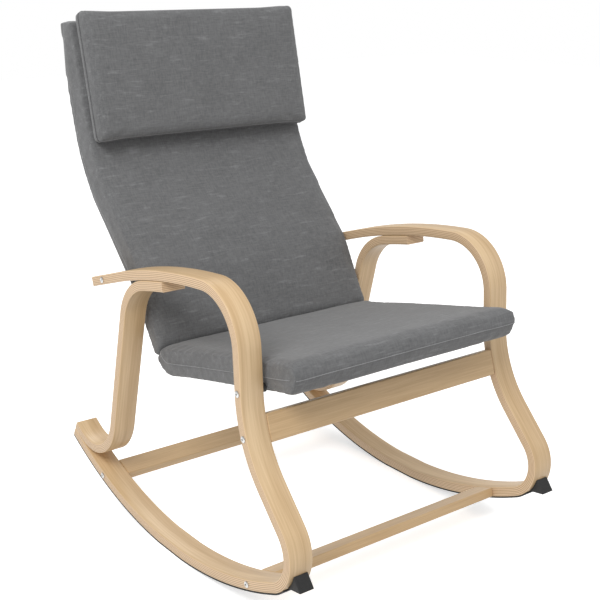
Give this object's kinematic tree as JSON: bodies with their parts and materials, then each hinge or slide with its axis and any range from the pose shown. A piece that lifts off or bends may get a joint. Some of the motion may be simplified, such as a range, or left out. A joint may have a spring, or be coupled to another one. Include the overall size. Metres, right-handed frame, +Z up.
{
  "type": "rocking chair",
  "caption": "Upholstered rocking chair with laminated wood side loops, a high curved padded back and a removable head pillow.",
  "frame": {"origin": "centre of the bounding box, on the floor", "axes": "+Z up, -Y the way the chair faces, +X the sitter's left"},
  "size_m": [0.645, 0.8733, 1.0054],
  "materials": {
    "birch": "satin",
    "frame_wood": "matt",
    "grey_fabric": "matt",
    "webbing": "matt",
    "black_rubber": "matt",
    "zinc_steel": "satin"
  },
  "bodies": {
    "chair": {"anti_tip_stop_left": "black_rubber", "anti_tip_stop_right": "black_rubber", "back_pad": "grey_fabric", "back_top_rail": "frame_wood", "back_webbing_1": "webbing", "back_webbing_2": "webbing", "back_webbing_3": "webbing", "back_webbing_4": "webbing", "barrel_nut_front_crossbar_left": "zinc_steel", "barrel_nut_front_crossbar_right": "zinc_steel", "barrel_nut_front_lower_crossbar_left": "zinc_steel", "barrel_nut_front_lower_crossbar_right": "zinc_steel", "barrel_nut_rear_lower_crossbar_left": "zinc_steel", "barrel_nut_rear_lower_crossbar_right": "zinc_steel", "bolt_front_crossbar_left": "zinc_steel", "bolt_front_crossbar_right": "zinc_steel", "bolt_front_lower_crossbar_left": "zinc_steel", "bolt_front_lower_crossbar_right": "zinc_steel", "bolt_rear_lower_crossbar_left": "zinc_steel", "bolt_rear_lower_crossbar_right": "zinc_steel", "bolt_seat_front_left": "zinc_steel", "bolt_seat_front_right": "zinc_steel", "bolt_seat_rear_left": "zinc_steel", "bolt_seat_rear_right": "zinc_steel", "frame_cover": "grey_fabric", "front_crossbar": "birch", "front_lower_crossbar": "birch", "hook_tape": "webbing", "insert_nut_front_left": "zinc_steel", "insert_nut_front_right": "zinc_steel", "insert_nut_rear_left": "zinc_steel", "insert_nut_rear_right": "zinc_steel", "rear_leg_left": "birch", "rear_leg_right": "birch", "rear_lower_crossbar": "birch", "runner_rubber_left": "black_rubber", "runner_rubber_right": "black_rubber", "seat_front_rail": "frame_wood", "seat_pad": "grey_fabric", "seat_rear_rail": "frame_wood", "seat_side_rail_left": "frame_wood", "seat_side_rail_right": "frame_wood", "seat_webbing_1": "webbing", "seat_webbing_2": "webbing", "seat_webbing_3": "webbing", "seat_webbing_4": "webbing", "side_loop_left": "birch", "side_loop_right": "birch", "spacer_front_left": "black_rubber", "spacer_front_right": "black_rubber", "spacer_rear_left": "black_rubber", "spacer_rear_right": "black_rubber"},
    "pillow": {"head_pillow": "grey_fabric", "loop_tape": "webbing"}
  },
  "joints": [
    {"name": "pillow_pull_off", "type": "slide", "parent": "chair", "child": "pillow", "axis": [0, -0.9739, 0.2268], "range_m": [0, 0.12]}
  ]
}
